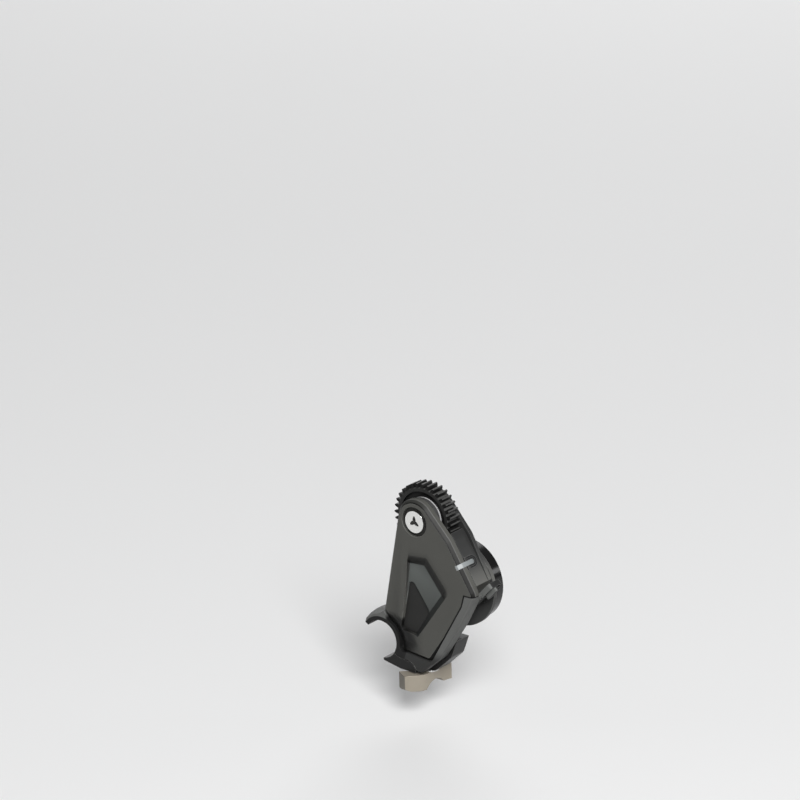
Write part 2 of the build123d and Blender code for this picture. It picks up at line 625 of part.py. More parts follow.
def mesh_turn(at, other, teeth, other_teeth, other_turn):
    """The angle of a tooth that fits the other gear's gap on the line between the two."""
    way = degrees(atan2(at[1] - other[1], at[0] - other[0]))
    phase = (way - other_turn) / (360 / other_teeth)
    return way + 180 - (0.5 - (phase % 1.0)) * (360 / teeth)


GEAR_TURN = 0.0
IDLER_TURN = mesh_turn(IDLER_AT, GEAR_AT, IDLER_TEETH, GEAR_TEETH, GEAR_TURN)
WHEEL_TURN = 0.0
PINION_TURN = mesh_turn(CAN_AT, IDLER_AT, PINION_TEETH, WHEEL_TEETH, WHEEL_TURN)


# ------------------------------------------------------------------ motor
def make_pinion():
    teeth = Pos(*CAN_AT) * gear_profile(WHEEL_MODULE, PINION_TEETH, PINION_TURN, steps=0)
    return slab(teeth, WHEEL_FRONT, WHEEL_BACK) - rod(CAN_AT, SHAFT_R, WHEEL_FRONT, WHEEL_BACK)


def make_motor_shaft():
    return rod(CAN_AT, SHAFT_R, WHEEL_FRONT, BELL_BACK - 0.2)


def make_motor_bush():
    """Long bush in the base's tube that the shaft runs in."""
    return ring(CAN_AT, BUSH_R, SHAFT_R + RUNNING, REAR_DEPTH + 0.1, STATOR_BACK)


def make_stator_core():
    """Hub ring with hammer-headed teeth."""
    step = 360 / STATOR_SLOTS
    profile = disc((0, 0), TUBE_R + 1.8)
    for i in range(STATOR_SLOTS):
        spoke = Rot(0, 0, step * i) * (Pos(6.8, 0) * Rectangle(4.6, 2.6))
        head = saddle_sector(step * (i - 0.4), step * (i + 0.4), STATOR_R) - disc((0, 0), STATOR_R - 1.1)
        profile = profile + spoke + head
    return slab(Pos(*CAN_AT) * (profile - disc((0, 0), TUBE_R)), STATOR_NEAR, STATOR_BACK)


def make_stator_coils():
    """Winding round each tooth, a block with the tooth's room left free."""
    coils = []
    for i in range(STATOR_SLOTS):
        place = Pos(*CAN_AT) * Rot(0, 0, 360 / STATOR_SLOTS * i) * Pos(6.75, 0)
        outer = slab(place * Rectangle(2.9, 4.0), STATOR_NEAR - COIL_RISE, STATOR_BACK + COIL_RISE)
        coils.append(outer - slab(place * Rectangle(4.0, 2.6), STATOR_NEAR, STATOR_BACK))
    return coils


def make_rotor_bell():
    """Cup with its ring magnet, open towards the base and fixed on the shaft."""
    inside = STATOR_R + AIR_GAP
    body = rod(CAN_AT, inside + BELL_WALL, BELL_NEAR, BELL_BACK)
    body -= rod(CAN_AT, inside, BELL_NEAR, BELL_BACK - BELL_ROOF)
    return body - rod(CAN_AT, SHAFT_R, BELL_NEAR, BELL_BACK - 0.2)


# ------------------------------------------------------------------ boards and port
BOARD_NEAR, BOARD_BACK = PORT_DEPTH - SOCKET_HIGH / 2 - 1.0, PORT_DEPTH - SOCKET_HIGH / 2


def make_control_board():
    area = inner_area(WALL + 0.4) & polygon((-FAR, 10.6), (FAR, 10.6), (FAR, 27.5), (-FAR, 27.5))
    area -= disc(IDLER_AT, MODULE * (IDLER_TEETH / 2 + 1) + 0.7)
    area -= [disc(at, POST_R + 0.2) for at in POSTS]
    return slab(area, BOARD_NEAR, BOARD_BACK)


def make_board_chips():
    sizes = [((16.0, 18.0), 5.0, 5.0, 1.0), ((23.0, 13.6), 3.2, 3.0, 1.2), ((9.6, 22.4), 3.0, 4.0, 1.6),
             ((27.5, 25.4), 3.0, 2.2, 0.9)]
    return [slab(Pos(*at) * Rectangle(wide, high), BOARD_BACK, BOARD_BACK + thick)
            for at, wide, high, thick in sizes]


def make_port_socket():
    """Tube of sheet metal with a closed back."""
    thin = 2 * SOCKET_SHEET
    body = port_block(SOCKET_LONG, SOCKET_HIGH, SOCKET_DEEP)
    return body - port_block(SOCKET_LONG - thin, SOCKET_HIGH - thin, SOCKET_DEEP - 0.8)


def make_port_tongue():
    return port_block(6.7, 0.7, SOCKET_DEEP - PLUG_DEEP - 1.1, mouth=PLUG_DEEP + 0.3, corner=0.3)


# ------------------------------------------------------------------ port flap
def make_port_flap():
    """Soft flap: a ribbed strap on the pin, and a head with a rimmed tray and a plug on its inner face."""
    half = FLAP_THICK / 2
    strap = Pos(STRAP_LONG / 2 + 0.5, 0) * Rectangle(STRAP_LONG + 1.0, FLAP_THICK) + Circle(half)
    for i in range(FLAP_RIBS):
        for side in (-1, 1):
            strap -= Pos(2.0 + 1.15 * i, side * half) * Rectangle(0.5, 0.9)
    strap -= Circle(FLAP_PIN_R + RUNNING)
    place = Pos(FLAP_X, FLAP_Z) * Rot(0, 0, FLAP_REST)
    body = slab(place * strap, FLAP_NEAR, FLAP_NEAR + STRAP_WIDE)
    wide, long = FLAP_BACK - FLAP_NEAR, FLAP_LENGTH - STRAP_LONG
    turn, middle = radians(FLAP_REST), FRONT + (FLAP_NEAR + FLAP_BACK) / 2
    reach = (STRAP_LONG + FLAP_LENGTH) / 2
    face = Plane(origin=(FLAP_X + reach * cos(turn) + half * sin(turn), middle,
                         FLAP_Z + reach * sin(turn) - half * cos(turn)),
                 x_dir=(cos(turn), 0, sin(turn)), z_dir=(sin(turn), 0, -cos(turn)))
    body += extrude(face * RectangleRounded(long, wide, 1.5), amount=-FLAP_THICK)
    body -= extrude(face * RectangleRounded(long - 2 * TRAY_RIM, wide - 2 * TRAY_RIM, 0.9), amount=-TRAY_DEEP)
    along = SOCKET_ALONG - reach + 0.25
    plug = RectangleRounded(PLUG_LONG, PLUG_HIGH, PLUG_HIGH / 2 - 0.01)
    plug = Pos(along, middle - FRONT - PORT_DEPTH) * plug
    return body + extrude(face.offset(-TRAY_DEEP) * plug, amount=TRAY_DEEP + PLUG_DEEP)


def make_flap_pin():
    return rod((FLAP_X, FLAP_Z), FLAP_PIN_R, COVER_DEPTH + 0.4, FLAP_BACK + 0.5)


# ------------------------------------------------------------------ jaw, clamp screw and lever
def make_jaw():
    """Hook under the rod, and behind the trim a bar with an upright that runs beside the frame's block."""
    hook_area = polygon((0, 0), JAW_TIP, (9.1, -10.1), (13.5, JAW_BOTTOM), (16.5, JAW_BOTTOM),
                        *reversed(JAW_EDGE[:4]), (5.0, -3.65))
    hook = slab(hook_area, 0.2, JAW_DEPTH)
    around = belt([(15.0, 6.0, 1.5), (15.0, JAW_BOTTOM + 1.5, 1.5), JAW_TOE, JAW_HEEL, JAW_SIDE])
    bar = around & polygon((0, -FAR), (FAR, -FAR), (FAR, JAW_BAR_TOP), (0, JAW_BAR_TOP))
    post = around & polygon((UPRIGHT_X, -FAR), (FAR, -FAR), (FAR, JAW_POST_TOP), (UPRIGHT_X, JAW_POST_TOP))
    body = hook + slab(bar + post, TRIM_DEPTH + JAW_STEP, JAW_DEPTH)
    body -= rod((0, 0), BORE_R, -1, CLAMP_LENGTH + 1)
    body -= upright((SCREW_X, SCREW_DEPTH), SCREW_R + 0.05, JAW_BOTTOM - 1, JAW_BAR_TOP + 1)
    return body - [upright(at, GUIDE_R + RUNNING, JAW_BOTTOM + 1, JAW_BAR_TOP + 1) for at in GUIDE_PIN_AT]


def make_guide_pins():
    return [upright(at, GUIDE_R, JAW_BOTTOM + 1.2, -0.6) for at in GUIDE_PIN_AT]


LEVER_TOP = JAW_BOTTOM - WASHER_THICK
STUD_IN = 2.4


def make_clamp_screw():
    """Stud fixed in the lever and threaded in the frame."""
    return upright((SCREW_X, SCREW_DEPTH), SCREW_R, LEVER_TOP - STUD_IN, SCREW_TOP)


def make_lever_washer():
    body = upright((SCREW_X, SCREW_DEPTH), 3.4, LEVER_TOP, JAW_BOTTOM)
    return body - upright((SCREW_X, SCREW_DEPTH), SCREW_R, LEVER_TOP, JAW_BOTTOM)


def side_cut(points):
    """A prism through the lever, drawn in depth and height."""
    return extrude(Plane.YZ * polygon(*[(FRONT + d, z) for d, z in points]), amount=40)


def make_wing_lever():
    """Waved wing, drawn in plan: two deep paddles, and an arch under the neck between them."""
    right = [(14.5, -4.0), (15.3, -2.6), (17.2, -0.9), (19.0, 1.3), (19.6, 5.0), (19.5, 9.0), (19.3, 13.0),
             (20.2, 17.4)]
    left = [(16.0, 18.4), (14.9, 14.0), (14.9, 10.0), (15.2, 6.0), (14.4, 3.2), (12.4, 1.6), (9.3, -1.1)]
    low = LEVER_TOP - LEVER_HEIGHT
    right, left = [[(x, FRONT + d) for x, d in side] for side in (right, left)]
    edges = [Spline(*right), Line(right[-1], left[0]), Spline(*left), Line(left[-1], right[0])]
    body = Pos(0, 0, low) * extrude(make_face(Wire(edges)), amount=LEVER_HEIGHT)
    arch = [(3.0, low - 0.01), (7.7, low + LEVER_ARCH), (13.6, low - 0.01)]
    curve = ThreePointArc(*[(FRONT + d, z) for d, z in arch])
    shut = Polyline((FRONT + 13.6, low - 0.01), (FRONT + 13.6, low - 2), (FRONT + 3.0, low - 2),
                    (FRONT + 3.0, low - 0.01))
    body -= extrude(Plane.YZ * make_face(Wire([curve, *shut.edges()])), amount=40)
    body -= side_cut([(-6.0, low + 2.4), (-2.0, low), (-2.0, low - 1), (-6.0, low - 1)])
    return body - upright((SCREW_X, SCREW_DEPTH), SCREW_R, LEVER_TOP - STUD_IN, LEVER_TOP + 1)


# ------------------------------------------------------------------ the assembly
PIECES = {
    "front_cover": make_front_cover,
    "cover_inlay": make_cover_inlay,
    "axle_screw": make_axle_screw,
    "light_guide": make_light_guide,
    "led_board": make_led_board,
    "clamp_frame": make_clamp_frame,
    "main_housing": make_main_housing,
    "rear_housing": make_rear_housing,
    "case_screws": make_case_screws,
    "motor_base": make_motor_base,
    "rear_can": make_rear_can,
    "gear_axle": make_gear_axle,
    "bearing_inner": make_bearing_inner,
    "bearing_outer": make_bearing_outer,
    "bearing_shield": make_bearing_shield,
    "drive_gear": make_drive_gear,
    "idler_axle": make_idler_axle,
    "idler_gear": make_idler_gear,
    "idler_wheel": make_idler_wheel,
    "pinion": make_pinion,
    "motor_shaft": make_motor_shaft,
    "motor_bush": make_motor_bush,
    "stator_core": make_stator_core,
    "stator_coils": make_stator_coils,
    "rotor_bell": make_rotor_bell,
    "control_board": make_control_board,
    "board_chips": make_board_chips,
    "port_socket": make_port_socket,
    "port_tongue": make_port_tongue,
    "port_flap": make_port_flap,
    "flap_pin": make_flap_pin,
    "jaw": make_jaw,
    "guide_pins": make_guide_pins,
    "clamp_screw": make_clamp_screw,
    "lever_washer": make_lever_washer,
    "wing_lever": make_wing_lever,
}

if __name__ == "__main__":
    os.makedirs("parts", exist_ok=True)
    for name, make in PIECES.items():
        piece = make()
        solids = [s for item in (piece if isinstance(piece, list) else [piece]) for s in item.solids()]
        shape = solids[0] if len(solids) == 1 else Compound(children=solids)
        shape.label = name
        export_step(shape, f"parts/{name}.step")
        print(f"{name}: {len(solids)} solid(s), {sum(s.volume for s in solids):.1f} mm3")
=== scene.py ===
"""Lens-drive motor of a wireless follow focus, dressed piece by piece."""
import json

import bmesh
import bpy
import numpy as np
from mathutils import Matrix, Vector


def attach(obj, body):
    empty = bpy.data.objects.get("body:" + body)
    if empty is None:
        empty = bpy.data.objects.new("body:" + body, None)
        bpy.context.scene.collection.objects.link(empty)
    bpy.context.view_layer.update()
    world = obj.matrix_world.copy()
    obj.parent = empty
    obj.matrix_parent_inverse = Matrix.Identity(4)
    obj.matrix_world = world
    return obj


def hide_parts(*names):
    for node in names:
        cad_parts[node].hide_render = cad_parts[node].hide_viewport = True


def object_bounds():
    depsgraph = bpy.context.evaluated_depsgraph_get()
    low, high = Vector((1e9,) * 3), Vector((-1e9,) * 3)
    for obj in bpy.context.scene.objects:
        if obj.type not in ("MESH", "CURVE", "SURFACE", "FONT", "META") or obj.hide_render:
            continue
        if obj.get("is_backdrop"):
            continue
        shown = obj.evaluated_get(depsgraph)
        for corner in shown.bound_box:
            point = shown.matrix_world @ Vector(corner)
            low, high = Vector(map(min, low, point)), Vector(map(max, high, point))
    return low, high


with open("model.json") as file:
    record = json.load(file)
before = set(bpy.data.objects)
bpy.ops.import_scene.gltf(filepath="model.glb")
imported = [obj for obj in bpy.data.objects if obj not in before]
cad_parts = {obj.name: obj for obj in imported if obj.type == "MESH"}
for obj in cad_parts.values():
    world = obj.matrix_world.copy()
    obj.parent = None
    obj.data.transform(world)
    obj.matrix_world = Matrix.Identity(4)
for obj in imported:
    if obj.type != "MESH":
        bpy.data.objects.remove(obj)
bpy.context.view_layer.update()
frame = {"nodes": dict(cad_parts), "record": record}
nodes = frame["nodes"]
body_of = {node: body for body, held in frame["record"]["behaviour"]["bodies"].items() for node in held}

# ------------------------------------------------------------------ camera
# A long lens from the front right and a little above, held almost level. The part's X and Y axes are
# given as the lens sees them, right, up and towards it, and one spot of the cover's face has its place
# in the square frame, whose pixels are also the unit of the focal length.
SEEN_X, SEEN_Y = np.array([0.7766, -0.1879, 0.6012]), np.array([0.6294, 0.2726, -0.7277])
FRAME_PIXELS, LENS_PIXELS, SENSOR_MM = 800, 4188.0, 36
SPOT_PIXELS, RANGE = (381.0, 638.8), 1.595
COVER_FACE = -0.0075

x_way = SEEN_X / np.linalg.norm(SEEN_X)
y_way = SEEN_Y - x_way * (x_way @ SEEN_Y)
y_way = y_way / np.linalg.norm(y_way)
part_to_camera = np.stack([x_way, y_way, np.cross(x_way, y_way)], 1)
frame_middle = FRAME_PIXELS / 2
spot_ray = np.array([SPOT_PIXELS[0] - frame_middle, frame_middle - SPOT_PIXELS[1], -LENS_PIXELS])
stand = np.array([0, COVER_FACE, 0]) - part_to_camera.T @ (spot_ray * (RANGE / LENS_PIXELS))
camera = bpy.data.objects.new("camera", bpy.data.cameras.new("camera"))
camera.data.sensor_width = SENSOR_MM
camera.data.lens = LENS_PIXELS / FRAME_PIXELS * SENSOR_MM
camera.data.clip_start, camera.data.clip_end = 0.05, 20
camera.matrix_world = Matrix.Translation(stand) @ Matrix(part_to_camera.T.tolist()).to_4x4()
bpy.context.collection.objects.link(camera)
bpy.context.scene.camera = camera

# ------------------------------------------------------------------ studio light
# A large soft box at the upper right does most of the work. A low strip behind draws a thin line on
# gloss paint, a weak box at the left keeps the far ends readable, and a wide one lights the back. The
# power is level x pi squared x distance squared, so a level of 1 lights white as white.
LAMPS = {"key": ((1.45, -1.25, 1.55), 1.0, 1.0, 1.10), "strip": ((1.50, 1.78, 0.50), 1.3, 0.34, 0.09),
         "fill": ((-1.6, -1.2, 0.9), 1.2, 1.2, 0.03), "back": ((-1.1, 1.9, 1.0), 2.0, 2.0, 0.50)}
LIT_SPOT = Vector((0.02, 0.0, 0.02))
ROOM_COLOR, ROOM_LEVEL = (0.95, 0.97, 1.0), 0.075

for name, (spot, wide, high, level) in LAMPS.items():
    lamp = bpy.data.objects.new(name, bpy.data.lights.new(name, "AREA"))
    aim = LIT_SPOT - Vector(spot)
    lamp.data.shape, lamp.data.size, lamp.data.size_y = "RECTANGLE", wide, high
    lamp.data.energy = level * np.pi ** 2 * aim.length_squared
    lamp.location = spot
    lamp.rotation_mode = "QUATERNION"
    lamp.rotation_quaternion = aim.to_track_quat("-Z", "Y")
    bpy.context.collection.objects.link(lamp)
world = bpy.data.worlds.new("pale_room")
world.use_nodes = True
room = world.node_tree.nodes["Background"].inputs
room["Color"].default_value, room["Strength"].default_value = (*ROOM_COLOR, 1), ROOM_LEVEL
bpy.context.scene.world = world
bpy.context.scene.view_settings.view_transform = "Standard"


# ------------------------------------------------------------------ floor
# Wide sheet of white card. Its colour is the background, and it throws back only part of the light,
# as a card much further below would.
class Value:
    """A socket of a material. Python arithmetic on it adds Math nodes to the tree."""

    def __init__(self, finish, socket):
        self.finish, self.socket = finish, socket

    def out(self, name):
        return Value(self.finish, self.socket.node.outputs[name])

    def _math(self, operation, *terms, clamp=False):
        return self.finish.add("ShaderNodeMath", {"operation": operation, "use_clamp": clamp}, *terms)

    def __add__(self, other):
        return self._math("ADD", self, other)

    def __sub__(self, other):
        return self._math("SUBTRACT", self, other)

    def __rsub__(self, other):
        return self._math("SUBTRACT", other, self)

    def __neg__(self):
        return self._math("MULTIPLY", self, -1.0)

    def __mul__(self, other):
        return self._math("MULTIPLY", self, other)

    def __pow__(self, other):
        return self._math("POWER", self, other)

    def __gt__(self, other):
        return self._math("GREATER_THAN", self, other)

    def __lt__(self, other):
        return self._math("LESS_THAN", self, other)

    __radd__, __rmul__ = __add__, __mul__

    def sine(self):
        return self._math("SINE", self)

    def least(self, other):
        return self._math("MINIMUM", self, other)

    def most(self, other):
        return self._math("MAXIMUM", self, other)

    def clamp(self):
        return self._math("ADD", self, 0.0, clamp=True)

    def ramp(self, zero, one):
        """A straight slope from 0 at the first number to 1 at the second, level beyond both."""
        return ((self - zero) * (1.0 / (one - zero))).clamp()

    def band(self, first, last, soft):
        """1 between two numbers and 0 outside them, with a slope inside each end."""
        return self.ramp(first, first + soft) * self.ramp(last, last - soft)


class Finish:
    """A material with one principled shader. Uniform numbers are set on its sockets, links by set()."""

    def __init__(self, name, color, roughness, metallic=0.0, specular=0.5, glow=0.0):
        self.material = bpy.data.materials.new(name)
        self.material.use_nodes = True
        self.tree = self.material.node_tree
        self.shader = self.tree.nodes["Principled BSDF"]
        self.material.diffuse_color = (*color, 1)
        uniform = {"Base Color": (*color, 1), "Roughness": roughness, "Metallic": metallic,
                   "Specular IOR Level": specular, "Emission Strength": glow}
        for socket, value in uniform.items():
            self.shader.inputs[socket].default_value = value
        self.place = self.add("ShaderNodeTexCoord").out("Object")

    def add(self, kind, settings=None, *values, **named):
        """Any node: its settings first, then values or links in order or by socket name."""
        node = self.tree.nodes.new(kind)
        for key, value in (settings or {}).items():
            setattr(node, key, value)
        sockets = list(zip(node.inputs, values))
        sockets += [(node.inputs[key.replace("_", " ")], value) for key, value in named.items()]
        for socket, value in sockets:
            if isinstance(value, Value):
                self.tree.links.new(value.socket, socket)
            elif value is not None:
                socket.default_value = value
        return Value(self, node.outputs[0])

    def set(self, **links):
        for name, value in links.items():
            self.tree.links.new(value.socket, self.shader.inputs[name.replace("_", " ")])
        return self

    def mix(self, mask, low, high):
        """Low where the mask is 0 and high where it is 1: links, colours, or a number for a grey."""
        node = self.tree.nodes.new("ShaderNodeMix")
        node.data_type = "RGBA"
        factor, color_a, color_b, result = node.inputs[0], node.inputs[6], node.inputs[7], node.outputs[2]
        self.tree.links.new(mask.socket, factor)
        for socket, value in ((color_a, low), (color_b, high)):
            if isinstance(value, Value):
                self.tree.links.new(value.socket, socket)
            else:
                socket.default_value = (*np.broadcast_to(value, 3), 1)
        return Value(self, result)

    def painted(self, shade, *coats):
        """The shade with each coat's colour laid over it in turn, where the coat's mask is 1."""
        for mask, color in coats:
            shade = self.mix(mask, shade, color)
        return shade

    def noise(self, scale, detail=2.0, rough=0.5):
        return self.add("ShaderNodeTexNoise", None,
                        Vector=self.place, Scale=scale, Detail=detail, Roughness=rough)

    def mm(self, letter):
        """The place along one axis, in millimetres."""
        return self.add("ShaderNodeSeparateXYZ", None, self.place).out(letter) * 1000.0

    def depth(self):
        """Millimetres behind the cover's face."""
        return self.mm("Y") - COVER_FACE * 1000.0

    def reach(self, centre, letters="XZ"):
        """Millimetres from an axis through the centre."""
        u, v = (self.mm(letter) - at for letter, at in zip(letters, centre))
        return (u ** 2.0 + v ** 2.0) ** 0.5

    def facing(self, letter):
        """The surface's own direction along one axis of the piece, from -1 to 1."""
        way = self.add("ShaderNodeTexCoord").out("Normal")
        return self.add("ShaderNodeSeparateXYZ", None, way).out(letter)

    def soft_edges(self, radius):
        return self.add("ShaderNodeBevel", {"samples": 6}, radius)

    def bumped(self, height, strength, distance, over=None):
        return self.add("ShaderNodeBump", None,
                        Strength=strength, Distance=distance, Height=height, Normal=over)

    def worn(self, radius):
        """How much a rounded edge turns away from its face: 0 on flats, towards 1 on edges."""
        soft = self.soft_edges(radius)
        true = self.add("ShaderNodeNewGeometry").out("Normal")
        agree = self.add("ShaderNodeVectorMath", {"operation": "DOT_PRODUCT"}, soft, true).out("Value")
        return (1.0 - agree).clamp()


FLOOR_LEVEL, FLOOR_HALF, FLOOR_CELLS = -0.030, 4, 8
floor_mesh = bpy.data.meshes.new("floor")
across = np.linspace(-FLOOR_HALF, FLOOR_HALF, FLOOR_CELLS + 1)
floor_x, floor_y = np.meshgrid(across, across)
corners = np.stack([floor_x, floor_y, np.full_like(floor_x, FLOOR_LEVEL)], -1).reshape(-1, 3)
row = FLOOR_CELLS + 1
first = (np.arange(FLOOR_CELLS)[:, None] * row + np.arange(FLOOR_CELLS)).ravel()
cells = np.stack([first, first + 1, first + row + 1, first + row], 1)
floor_mesh.from_pydata(corners.tolist(), [], cells.tolist())
floor = bpy.data.objects.new("floor", floor_mesh)
bpy.context.collection.objects.link(floor)
card = Finish("white_card", (0.90, 0.90, 0.90), 0.9, glow=1.0)
ray = card.add("ShaderNodeLightPath")
on_view = (ray.out("Is Camera Ray") + ray.out("Is Glossy Ray") + ray.out("Is Transmission Ray")).clamp()
fibre = card.mix(card.noise(3.0), 0.73, 0.75)
card.set(Base_Color=card.mix(on_view, 0.08, fibre), Emission_Color=card.mix(on_view, 0.0, 0.13))
floor_mesh.materials.append(card.material)
floor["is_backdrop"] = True


# ------------------------------------------------------------------ front cover
# Milled aluminium plate, blasted and hard anodised an olive charcoal, its edges just broken. Its sunk
# kite is a touch cooler and paler at its top, and painted shade darkens its floor towards the bottom;
# painted shade and highlights also mark the kite's shoulder, the window, the rim and the rod's surround.
def softened(name, width, segments=2):
    """A node's own shape with its doubled points merged, its flat facets joined and its hard edges
    rounded by a bevel; the rest is shaded smooth."""
    mesh = nodes[name].data.copy()
    if "custom_normal" in mesh.attributes:
        mesh.attributes.remove(mesh.attributes["custom_normal"])
    work = bmesh.new()
    work.from_mesh(mesh)
    bmesh.ops.remove_doubles(work, verts=work.verts, dist=2e-6)
    bmesh.ops.dissolve_limit(work, angle_limit=0.01, verts=work.verts, edges=work.edges)
    for face in work.faces:
        face.smooth = True
    work.to_mesh(mesh)
    work.free()
    piece = bpy.data.objects.new("soft_" + name, mesh)
    bpy.context.collection.objects.link(piece)
    bevel = piece.modifiers.new("broken_edge", "BEVEL")
    bevel.width, bevel.segments = width, segments
    bevel.limit_method, bevel.angle_limit = "ANGLE", 0.5
    bevel.harden_normals = True
    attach(piece, body_of[name])
    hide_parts(name)


def dress(finish, *names):
    """Gives a finish to nodes, or to the softened pieces that stand for them."""
    for name in names:
        materials = (bpy.data.objects.get("soft_" + name) or nodes[name]).data.materials
        materials.clear()
        materials.append(finish.material)


def anodised(name, color, edge, roughness=0.5, radius=0.0002):
    """Slow noise varies the tone and the gloss; the edge colour, paler as rubbed edges and also a painted
    highlight line along them, comes where the bevelled normal leaves the true one. The finish keeps the
    result as its shade."""
    finish = Finish(name, color, roughness, specular=0.2)
    tone = finish.noise(90.0, 4.0)
    # rubbed edges, made paler also as a painted highlight on them
    rub_and_highlight = finish.worn(radius * 1.6) * (0.4 + finish.noise(700.0, 3.0))
    shade = finish.mix(tone, [c * 0.9 for c in color], [c * 1.1 for c in color])
    finish.shade = finish.mix((rub_and_highlight * 2.2).clamp(), shade, edge)
    return finish.set(Roughness=tone * 0.14 + (roughness - 0.07))


def blasted(finish, over):
    """The grain of blasting, fine noise as bump over a normal."""
    return finish.bumped(finish.noise(9000.0, 1.0), 0.22, 0.00002, over)


def sides(finish, outline):
    """Millimetres inward from each side of an outline drawn clockwise: the dot product of the place
    and the side's inner normal, less the side's own."""
    x, z = finish.mm("X"), finish.mm("Z")
    found = []
    for (x0, z0), (x1, z1) in zip(outline, outline[1:] + outline[:1]):
        run = np.hypot(x1 - x0, z1 - z0)
        inner_x, inner_z = (z1 - z0) / run, (x0 - x1) / run
        found.append(x * inner_x + z * inner_z - (x0 * inner_x + z0 * inner_z))
    return found


# x and z in millimetres: the kite's top edge all round, the window in its floor, the joint with the
# clamp frame and the level where that joint turns outward
KITE = [(13.9, 34.2), (21.7, 34.8), (31.5, 23.3), (17.9, 4.8), (11.0, 8.5)]
WINDOW = [(12.2, 8.2), (15.4, 24.7), (22.0, 16.5), (16.0, 7.5)]
SEAM = [(40.9, 26.8), (39.6, 22.2), (25.2, -2.3), (0.0, 20.0)]
SEAM_TURN = (40.7, 27.3)
GEAR_AXIS, ROD_AXIS = (17.9, 51.5), (0.0, 0.0)
SCREW_SEAT = 5.9
COVER_EDGE = 0.00025
LINE_SOFT = 0.167

softened("front_cover", 0.0003)
cover = anodised("charcoal_cover", (0.108, 0.108, 0.099), (0.30, 0.30, 0.28), radius=COVER_EDGE)
x_mm, z_mm, depth_mm = cover.mm("X"), cover.mm("Z"), cover.depth()
front_back = cover.facing("Y")
roof, right, low, foot, left = sides(cover, KITE)
inside = roof.least(right).least(low).least(foot).least(left)
on_kite = inside.ramp(0.0, 0.33)
# the shoulder rolls down to the kite's roof and right side: the slope, as bump, is narrow, and the
# painted shade beside it wide
outward = (-roof).most(-right)
at_wall = left.ramp(0.0, 0.5) * low.ramp(0.0, 2.0) * foot.ramp(0.0, 0.83)
slope = outward.ramp(3.45, 0.0) ** 1.5 * at_wall
shoulder_shade = outward.ramp(5.56, 0.0) ** 1.5 * at_wall
# round the rod the face is scooped away as bump, a parabola at its outer edge, then a straight cone; the
# scoop is also painted darker as shade
fall = (14.0 - cover.reach((5.0, -1.0))).most(0.0) * 0.222
brim_fall = fall.least(1.0)
scoop = (brim_fall ** 2.0 + (fall - brim_fall) * 2.0) * z_mm.ramp(-3.0, 2.0)
# painted shadow: the cove beside the rod, near black
cove_shade = z_mm.ramp(11.4, 10.15) * x_mm.ramp(21.0, 11.9) * 0.85
# painted shade darkens the rim's bevel low down, with a painted shade line at its start and a painted
# highlight line at its end
bevelled = front_back.ramp(-0.95, -0.867) * (front_back < -0.25)
rim = bevelled * inside.ramp(-3.5, -4.0)
rim_shade_line = depth_mm.ramp(0.42, 0.295) * rim
rim_highlight_line = depth_mm.band(1.2, 1.62, LINE_SOFT) * rim
turn_side, seam_side = sides(cover, SEAM)[:2]
seam_line = turn_side.least(seam_side).ramp(0.5, 0.375) * (z_mm < SEAM_TURN[1])
notch_line = z_mm.ramp(SEAM_TURN[1], SEAM_TURN[1] - 0.125) * (x_mm > SEAM_TURN[0])
# painted lines round the window: shade along its top, a highlight on the flat strip under it and another
# along the kite's left edge
window_side, window_top, window_low, window_foot = sides(cover, WINDOW)
window_shade = window_top.band(-0.75, 0.1, LINE_SOFT) * window_low.ramp(-0.6, 0.4) * window_side.ramp(0.4, 1.4)
lit_land = window_low.band(-0.5, 0.1, LINE_SOFT) * window_top.ramp(-0.3, 0.7) * window_foot.ramp(-0.3, 0.7)
lit_brim = left.band(-0.1, 0.55, LINE_SOFT) * on_kite
# painted shade in the screw's counterbore
bore_shade = cover.reach(GEAR_AXIS).ramp(SCREW_SEAT, SCREW_SEAT - 0.125) * depth_mm.ramp(0.15, 0.4)
relief = cover.bumped(-(slope * 3.5) - scoop * 2.6, 1.0, 0.001, cover.soft_edges(COVER_EDGE))
# the kite's floor is painted darker towards its bottom as shade
cover.set(Normal=blasted(cover, relief), Base_Color=cover.painted(
    cover.shade,
    (bevelled * z_mm.ramp(111.1, 37.0), (0.015, 0.015, 0.014)),
    ((shoulder_shade * 1.5 + scoop).clamp(), (0.034, 0.034, 0.031)),
    (cove_shade, 0.012),
    (on_kite, cover.mix(z_mm.ramp(9.0, 31.2), (0.045, 0.048, 0.046), (0.150, 0.162, 0.155))),
    (rim_shade_line, 0.004),
    (rim_highlight_line * 0.8, (0.160, 0.160, 0.155)),
    (seam_line.most(notch_line), 0.006),
    (window_shade * on_kite, 0.010),
    ((lit_land * on_kite + lit_brim).clamp(), (0.150, 0.150, 0.145)),
    (bore_shade, (0.022, 0.022, 0.020))))
dress(cover, "front_cover")

# ------------------------------------------------------------------ inlay
# Thin plate of matte black plastic, glued into the window in the kite's floor. Fine noise gives
# it the spark-eroded grain of its mould.
inlay = Finish("inlay_plastic", (0.034, 0.034, 0.034), 0.5, specular=0.2)
inlay.set(Base_Color=inlay.mix(inlay.noise(160.0, 3.0), (0.024, 0.024, 0.023), (0.030, 0.030, 0.029)),
          Normal=inlay.bumped(inlay.noise(6000.0), 0.15, 0.00002))
dress(inlay, "cover_inlay")

# ------------------------------------------------------------------ light bar
# Milky acrylic, lit softly from behind and palest at its front end. Its rear end sits in a black rubber
# pad with two ridges, which are swept here round the bar's end and stand on the flank.
bar = Finish("milky_acrylic", (0.40, 0.42, 0.42), 0.35, glow=0.02)
front = bar.mm("Y").ramp(0.5, -7.2)
bar.set(Base_Color=bar.mix(front, (0.215, 0.236, 0.24), (0.37, 0.395, 0.40)),
        Emission_Color=bar.mix(front, (0.25, 0.28, 0.28), (0.9, 0.95, 0.95)),
        Normal=bar.bumped(bar.noise(3000.0), 0.05, 0.00001, bar.soft_edges(0.0002)))
dress(bar, "light_guide")

